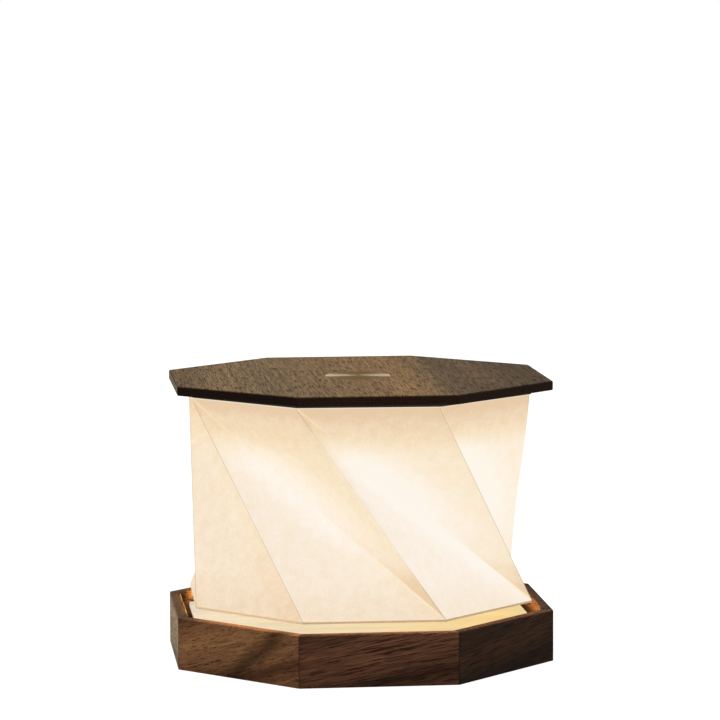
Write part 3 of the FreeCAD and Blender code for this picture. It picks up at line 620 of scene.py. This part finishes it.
# One finish for each kind of piece, by the record's slots.
LID_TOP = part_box("lid_panel")[1].z / MM
finishes = {
    "walnut_lid": sawn_wood("oiled_walnut_lid", turn=math.pi / 2, shift=(0, 0, -LID_TOP), across=200,
                            sway=20, streak_mm=(160, 2.6), streaks=0.16, pore_mm=(14, 0.6), pores=0.455,
                            sheen=0.02, charred_edges_and_painted_highlight=True,
                            bands=[(0.09, "62503a"), (0.16, "6f5a40"), (0.2, "786043"), (0.26, "6f5a42"),
                                   (0.3, "745f45"), (0.35, "8a6f4d"), (0.41, "9c7950"), (0.5, "94744f"),
                                   (0.6, "8f7250"), (0.75, "866e4f"), (0.85, "8f7352"), (0.94, "796245")]),
    "dark_liner": finish("stained_board", "2b1e17", "170f0b", 3, roughness=0.6, stretch=(1, 6, 1)),
    "birch_ply": sawn_wood("birch_plywood", bands=[(0.0, "c9a877"), (0.5, "d8bb8c"), (1.0, "c29d68")],
                           across=120, pores=0.3),
    "cream_enamel": cream_enamel(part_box("deck_plate")[1].x),
    "turned_aluminium": finish("turned_aluminium", "c4c6c8", "a3a6a9", 0.6, 0.35, 1.0,
                               stretch=(1, 1, 0.2)),
    "zinc_steel": finish("zinc_plated_steel", "b9bcc0", "94989d", 1.2, 0.35, 1.0),
    "white_nylon": finish("white_nylon", "ece7dc", "ddd6c8", 2, 0.5),
    "white_board": finish("white_solder_mask", "f0eee8", "dedbd2", 3, 0.4),
    "phosphor": finish("phosphor_resin", "f7d870", "e8bc3e", 0.8, 0.3, glow=0.5),
    "opal_plastic": finish("opal_acrylic", "f7ecd4", "efdfbf", 6, 0.4, glow=0.35),
    "black_rubber": finish("black_rubber", "26252a", "141316", 0.8, 0.8, relief=0.3),
    # The frosted plate's glow is painted light from the lamp.
    "frosted_plate": finish("frosted_acrylic", "e6cda6", "d6b98d", 0.8, 0.6, relief=0.2, glow=0.35),
    "cell_wrap": finish("heat_shrink_wrap", "4f6f8f", "3c5874", 4, 0.35),
    "board_green": finish("green_solder_mask", "2f6b42", "1f4d2e", 1.5, 0.4),
    "component_black": finish("moulded_epoxy", "2a2a2b", "171718", 0.5, 0.5),
    "nickel_magnet": finish("nickel_plate", "c9c5bb", "aca79c", 2, 0.25, 1.0),
    "spun_brass": spun_brass(),
    "wool_felt": wool_felt,
    "black_foam": black_foam,
    "copper_foil": copper_foil,
    "folded_paper": paper.data.materials[0],
}

# Each tray board is cut from another plank: its dark, middle and pale colour, and its grain's rise in
# degrees. Some have a figure of their own, or painted light or shade on the top edge.
BOARDS = {
    "tray_wall_front": ("452d20", "704b37", "865a41", 10),
    "tray_wall_front_right": ("2b1b13", "3e2a1d", "503523", 6),
    "tray_wall_right": ("382919", "543d28", "6a4e34", -4),
    "tray_wall_back_right": ("402e20", "5f4530", "765737", 3),
    "tray_wall_back": ("3a261a", "5d3e2b", "724d34", -7),
    "tray_wall_back_left": ("443221", "664d33", "7c5e3d", 9),
    # The left board's pale colours are partly painted light, from the lamp on the left.
    "tray_wall_left": ("665039", "927553", "a88b62", 4),
    "tray_wall_front_left": ("4d311d", "7f573a", "986b45", 16),
}
BOARD_FIGURES = {
    "tray_wall_left": {"top_level": 0.5},
    "tray_wall_front_left": {"flame": (-4, math.radians(40)), "streaks": 0.12, "pore_mm": (3.6, 0.32),
                             "pores": 0.4, "top_level": 2.3},
    "tray_wall_front": {"top_level": 1.95},
    "tray_wall_front_right": {"top_level": 3.7},
}

# A board's place in its plank, in millimetres: half its length, how far out it stands and half its height.
BOARD_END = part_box("tray_wall_front")[1].x / MM
BOARD_OUT = 90
BOARD_MIDDLE = 12
PLANK_LENGTH = 310
for number, (node, (dark, middle, pale, rise)) in enumerate(BOARDS.items()):
    wood = sawn_wood("oiled_walnut_" + str(number + 1), turn=number * STEP, tilt=math.radians(rise),
                     shift=(PLANK_LENGTH * number, BOARD_OUT, -BOARD_MIDDLE), seam=BOARD_END,
                     bands=[(0.0, middle), (0.2, dark), (0.35, middle), (0.6, pale), (0.75, middle),
                            (1.0, dark)], **BOARD_FIGURES.get(node, {}))
    nodes[node].data.materials.clear()
    nodes[node].data.materials.append(wood)

for part in frame["record"]["subparts"]:
    if part["node"] not in BOARDS:
        data = nodes[part["node"]].data
        data.materials.clear()
        data.materials.append(finishes[part["material_slot"]])


# Light: an even pale room, a large soft lamp on the left, another overhead, and the warm light that leaks out
# under the shade.
def new_light(name, place, aim, power, size, colour="ffffff", spread=180):
    """A rectangular soft lamp that the camera doesn't see."""
    data = bpy.data.lights.new(name, "AREA")
    data.energy = power
    data.color = linear(colour)[:3]
    data.shape = "RECTANGLE"
    data.size, data.size_y = size
    data.spread = math.radians(spread)
    made = bpy.data.objects.new(name, data)
    scene.collection.objects.link(made)
    made.location = place
    made.rotation_euler = (Vector(aim) - Vector(place)).to_track_quat("-Z", "Y").to_euler()
    made.visible_camera = False
    made.visible_glossy = False


SHADE_MIDDLE = (0, 0, 80 * MM)
new_light("key", (-1.4, -0.1, 0.6), SHADE_MIDDLE, 7.0, (0.9, 0.9))
new_light("top", (0.1, 0.3, 1.5), SHADE_MIDDLE, 7.6, (1.2, 1.2))
LEAK_RADIUS = 79 * MM
LEAK_HEIGHT = 28.4 * MM
LEAK_FALL = 0.64
LEAK_SIZE = (60 * MM, 0.8 * MM)
LEAK_POWER = 0.0068
for side in range(SIDES):
    outward = Vector((math.sin(side * STEP), -math.cos(side * STEP), 0))
    spot = outward * LEAK_RADIUS + Vector((0, 0, LEAK_HEIGHT))
    aim = spot + outward - Vector((0, 0, LEAK_FALL))
    new_light("leak_" + str(side + 1), spot, aim, LEAK_POWER, LEAK_SIZE, "ffc890", spread=46)

# The room: white where it is seen, white low down and dim overhead where it is reflected, and a plain grey
# light.
world = bpy.data.worlds.new("pale_room")
scene.world = world
world.use_nodes = True
room = world.node_tree
ray = add(room, "LightPath", {})
way = add(room, "TexCoord", {})
rise = add(room, "SeparateXYZ", {"Vector": way.outputs["Generated"]})
reflected = add(room, "MapRange", {"Value": rise.outputs["Z"], "From Min": 0.15, "From Max": 0.4,
                                   "To Min": 1.0, "To Max": 0.16})
glossy = add(room, "Math", {0: ray.outputs["Is Glossy Ray"], 1: ray.outputs["Is Transmission Ray"]},
             operation="MAXIMUM")
unseen = add(room, "Mix", {0: glossy.outputs[0], 2: 0.45, 3: reflected.outputs[0]})
level = add(room, "Mix", {0: ray.outputs["Is Camera Ray"], 2: unseen.outputs[0], 3: 1.0})
room.nodes["Background"].inputs["Color"].default_value = (1, 1, 1, 1)
room.links.new(level.outputs[0], room.nodes["Background"].inputs["Strength"])

# The floor: a pale sheet that is nearly white where it is seen, and keeps the lamp's shadow.
floor_mesh = bmesh.new()
bmesh.ops.create_circle(floor_mesh, cap_ends=True, segments=64, radius=6.0)
floor_data = bpy.data.meshes.new("floor")
floor_mesh.to_mesh(floor_data)
floor_mesh.free()
floor = bpy.data.objects.new("floor", floor_data)
scene.collection.objects.link(floor)
pale_sheet, sheet_tree, sheet_shader = new_material("pale_sheet")
sheet_ray = add(sheet_tree, "LightPath", {})
sheet_seen = add(sheet_tree, "Math", {0: sheet_ray.outputs["Is Camera Ray"],
                                      1: sheet_ray.outputs["Is Glossy Ray"]}, operation="MAXIMUM")
sheet_glow = add(sheet_tree, "Math", {0: sheet_seen.outputs[0], 1: 0.88}, operation="MULTIPLY")
feed(sheet_tree, sheet_shader, Emission_Strength=sheet_glow.outputs[0])
sheet_shader.inputs["Emission Color"].default_value = (1, 1, 1, 1)
sheet_shader.inputs["Base Color"].default_value = (0.4, 0.4, 0.4, 1)
sheet_shader.inputs["Roughness"].default_value = 1.0
sheet_shader.inputs["Specular IOR Level"].default_value = 0.0
floor_data.materials.append(pale_sheet)

# Camera: a long lens a little above the lid, from slightly left of the front.
LENS = 169.24
CAMERA_PLACE = Vector((1.16 * MM, -1672.11 * MM, 320.57 * MM))
CAMERA_PITCH = math.radians(5.95)
CAMERA_ROLL = math.radians(-0.174)
CAMERA_HEADING = math.radians(-6.2)

camera_data = bpy.data.cameras.new("camera")
camera_data.sensor_width = 36
camera_data.lens = LENS
camera = bpy.data.objects.new("camera", camera_data)
scene.collection.objects.link(camera)
heading = Matrix.Rotation(CAMERA_HEADING, 4, "Z")
look = Matrix.Rotation(math.pi / 2 - CAMERA_PITCH, 4, "X") @ Matrix.Rotation(CAMERA_ROLL, 4, "Z")
camera.matrix_world = heading @ Matrix.Translation(CAMERA_PLACE) @ look
scene.camera = camera
